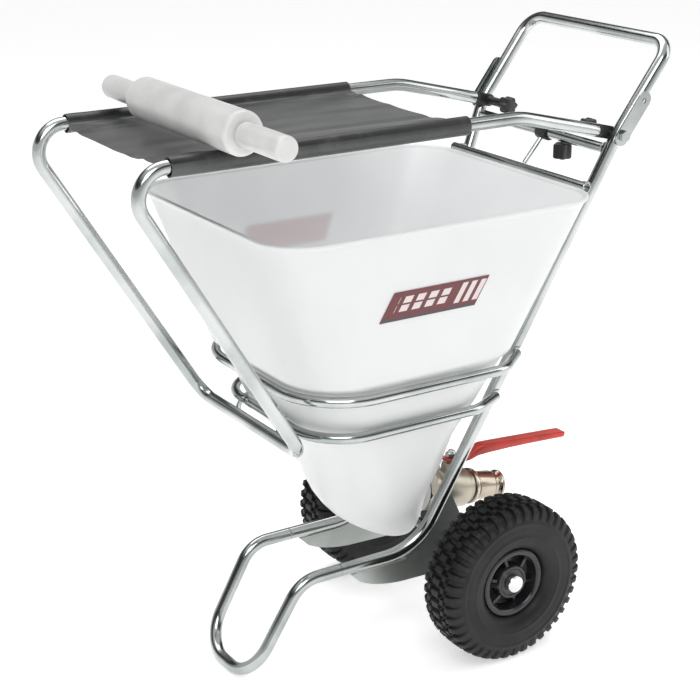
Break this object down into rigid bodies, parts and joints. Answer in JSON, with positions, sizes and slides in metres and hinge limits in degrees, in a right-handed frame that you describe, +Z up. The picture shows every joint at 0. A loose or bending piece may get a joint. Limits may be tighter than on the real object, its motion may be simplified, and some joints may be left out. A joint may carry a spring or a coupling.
{
  "type": "wheeled material hopper with a bag-pressing rack",
  "caption": "Tapered translucent hopper on a two-wheeled bent-tube trolley, with a ball valve outlet and a tilting sheet rack with a rolling pin that presses bags empty.",
  "frame": {"origin": "on the ground, under the middle of the whole object's box", "axes": "+Z up, +X towards the push handle and the outlet, +Y to the right hand of a person who pushes it"},
  "size_m": [0.9068, 0.55, 0.9419],
  "materials": {
    "tube_zinc": "bright zinc plated, polished look",
    "plate_zinc": "dull zinc plated sheet",
    "hopper_plastic": "translucent rotomoulded polyethylene, satin",
    "tyre_rubber": "matte black tyre rubber with a block tread",
    "rim_black": "semi-gloss black",
    "black_plastic": "moulded black nylon",
    "valve_nickel": "nickel-plated brass",
    "bright_steel": "bright pressed steel",
    "lever_red": "red dipped vinyl over steel",
    "sheet_vinyl": "dark grey coated vinyl sheet, semi-gloss",
    "seal_rubber": "black seal",
    "label_print": "dark red printed film",
    "pin_plastic": "cream polyethylene, satin"
  },
  "bodies": {
    "frame": {"foot_loop": "tube_zinc", "side_tube_left": "tube_zinc", "side_tube_right": "tube_zinc", "handle_loop": "tube_zinc", "joint_strap_left": "tube_zinc", "joint_strap_right": "tube_zinc", "cross_bar": "tube_zinc", "rim_bar": "tube_zinc", "centre_stay": "tube_zinc", "stay_saddle": "black_plastic", "upper_hoop": "tube_zinc", "lower_hoop": "tube_zinc", "hopper": "hopper_plastic", "label_left": "label_print", "label_right": "label_print", "axle_plate_left": "plate_zinc", "axle_plate_right": "plate_zinc", "axle": "tube_zinc", "axle_spacer_left": "tube_zinc", "axle_spacer_right": "tube_zinc", "hub_cap_left": "bright_steel", "hub_cap_right": "bright_steel", "outlet_gasket": "seal_rubber", "outlet_nut": "valve_nickel", "outlet_tube": "valve_nickel", "valve_body": "valve_nickel", "ball_seat_inlet": "seal_rubber", "ball_seat_outlet": "seal_rubber", "end_flange": "valve_nickel", "hose_adapter": "valve_nickel", "pivot_stud_left": "tube_zinc", "pivot_stud_right": "tube_zinc"},
    "lever": {"valve_ball": "valve_nickel", "valve_stem": "valve_nickel", "valve_lever": "lever_red", "lever_sleeve": "lever_red", "lever_nut": "valve_nickel"},
    "rack": {"rack_tube": "tube_zinc", "rail_tongue_left": "black_plastic", "rail_tongue_right": "black_plastic", "rack_hook_left": "tube_zinc", "rack_hook_right": "tube_zinc", "press_sheet": "sheet_vinyl"},
    "pin": {"pin_core": "tube_zinc", "pin_grip_left": "pin_plastic", "pin_grip_right": "pin_plastic"},
    "barrel": {"pin_barrel": "pin_plastic"},
    "knob_left": {"pivot_knob_left": "black_plastic"},
    "knob_right": {"pivot_knob_right": "black_plastic"},
    "knob_lock": {"lock_knob": "black_plastic"},
    "wheel_left": {"tyre_left": "tyre_rubber", "rim_outer_left": "rim_black", "rim_inner_left": "rim_black", "bearing_outer_left": "bright_steel", "bearing_inner_left": "bright_steel"},
    "wheel_right": {"tyre_right": "tyre_rubber", "rim_outer_right": "rim_black", "rim_inner_right": "rim_black", "bearing_outer_right": "bright_steel", "bearing_inner_right": "bright_steel"}
  },
  "joints": [
    {"name": "wheel_left_spin", "type": "hinge", "parent": "frame", "child": "wheel_left", "pos_m": [0.14053, -0.137, 0.13], "axis": [0, 1, 0], "continuous": true},
    {"name": "wheel_right_spin", "type": "hinge", "parent": "frame", "child": "wheel_right", "pos_m": [0.14053, 0.233, 0.13], "axis": [0, 1, 0], "continuous": true},
    {"name": "valve_turn", "type": "hinge", "parent": "frame", "child": "lever", "pos_m": [0.16268, 0.048, 0.20628], "axis": [0.1736, 0, 0.9848], "range_deg": [0, 90]},
    {"name": "rack_tilt", "type": "hinge", "parent": "frame", "child": "rack", "pos_m": [0.34553, 0.048, 0.803], "axis": [0, 1, 0], "range_deg": [0, 75]},
    {"name": "pin_roll", "type": "slide", "parent": "rack", "child": "pin", "axis": [1, 0, 0], "range_m": [-0.045, 0.345]},
    {"name": "barrel_spin", "type": "hinge", "parent": "pin", "child": "barrel", "pos_m": [-0.31947, 0.048, 0.8891], "axis": [0, 1, 0], "range_deg": [-86, 660]},
    {"name": "knob_left_turn", "type": "hinge", "parent": "frame", "child": "knob_left", "pos_m": [0.34553, -0.052, 0.803], "axis": [0, 1, 0], "continuous": true},
    {"name": "knob_right_turn", "type": "hinge", "parent": "frame", "child": "knob_right", "pos_m": [0.34553, 0.148, 0.803], "axis": [0, 1, 0], "continuous": true},
    {"name": "knob_lock_turn", "type": "hinge", "parent": "frame", "child": "knob_lock", "pos_m": [0.3351, -0.006, 0.758], "axis": [0, 0, 1], "continuous": true}
  ],
  "couplings": [
    {"joint": "barrel_spin", "follows": "pin_roll", "rad_per_m": 33.333}
  ]
}
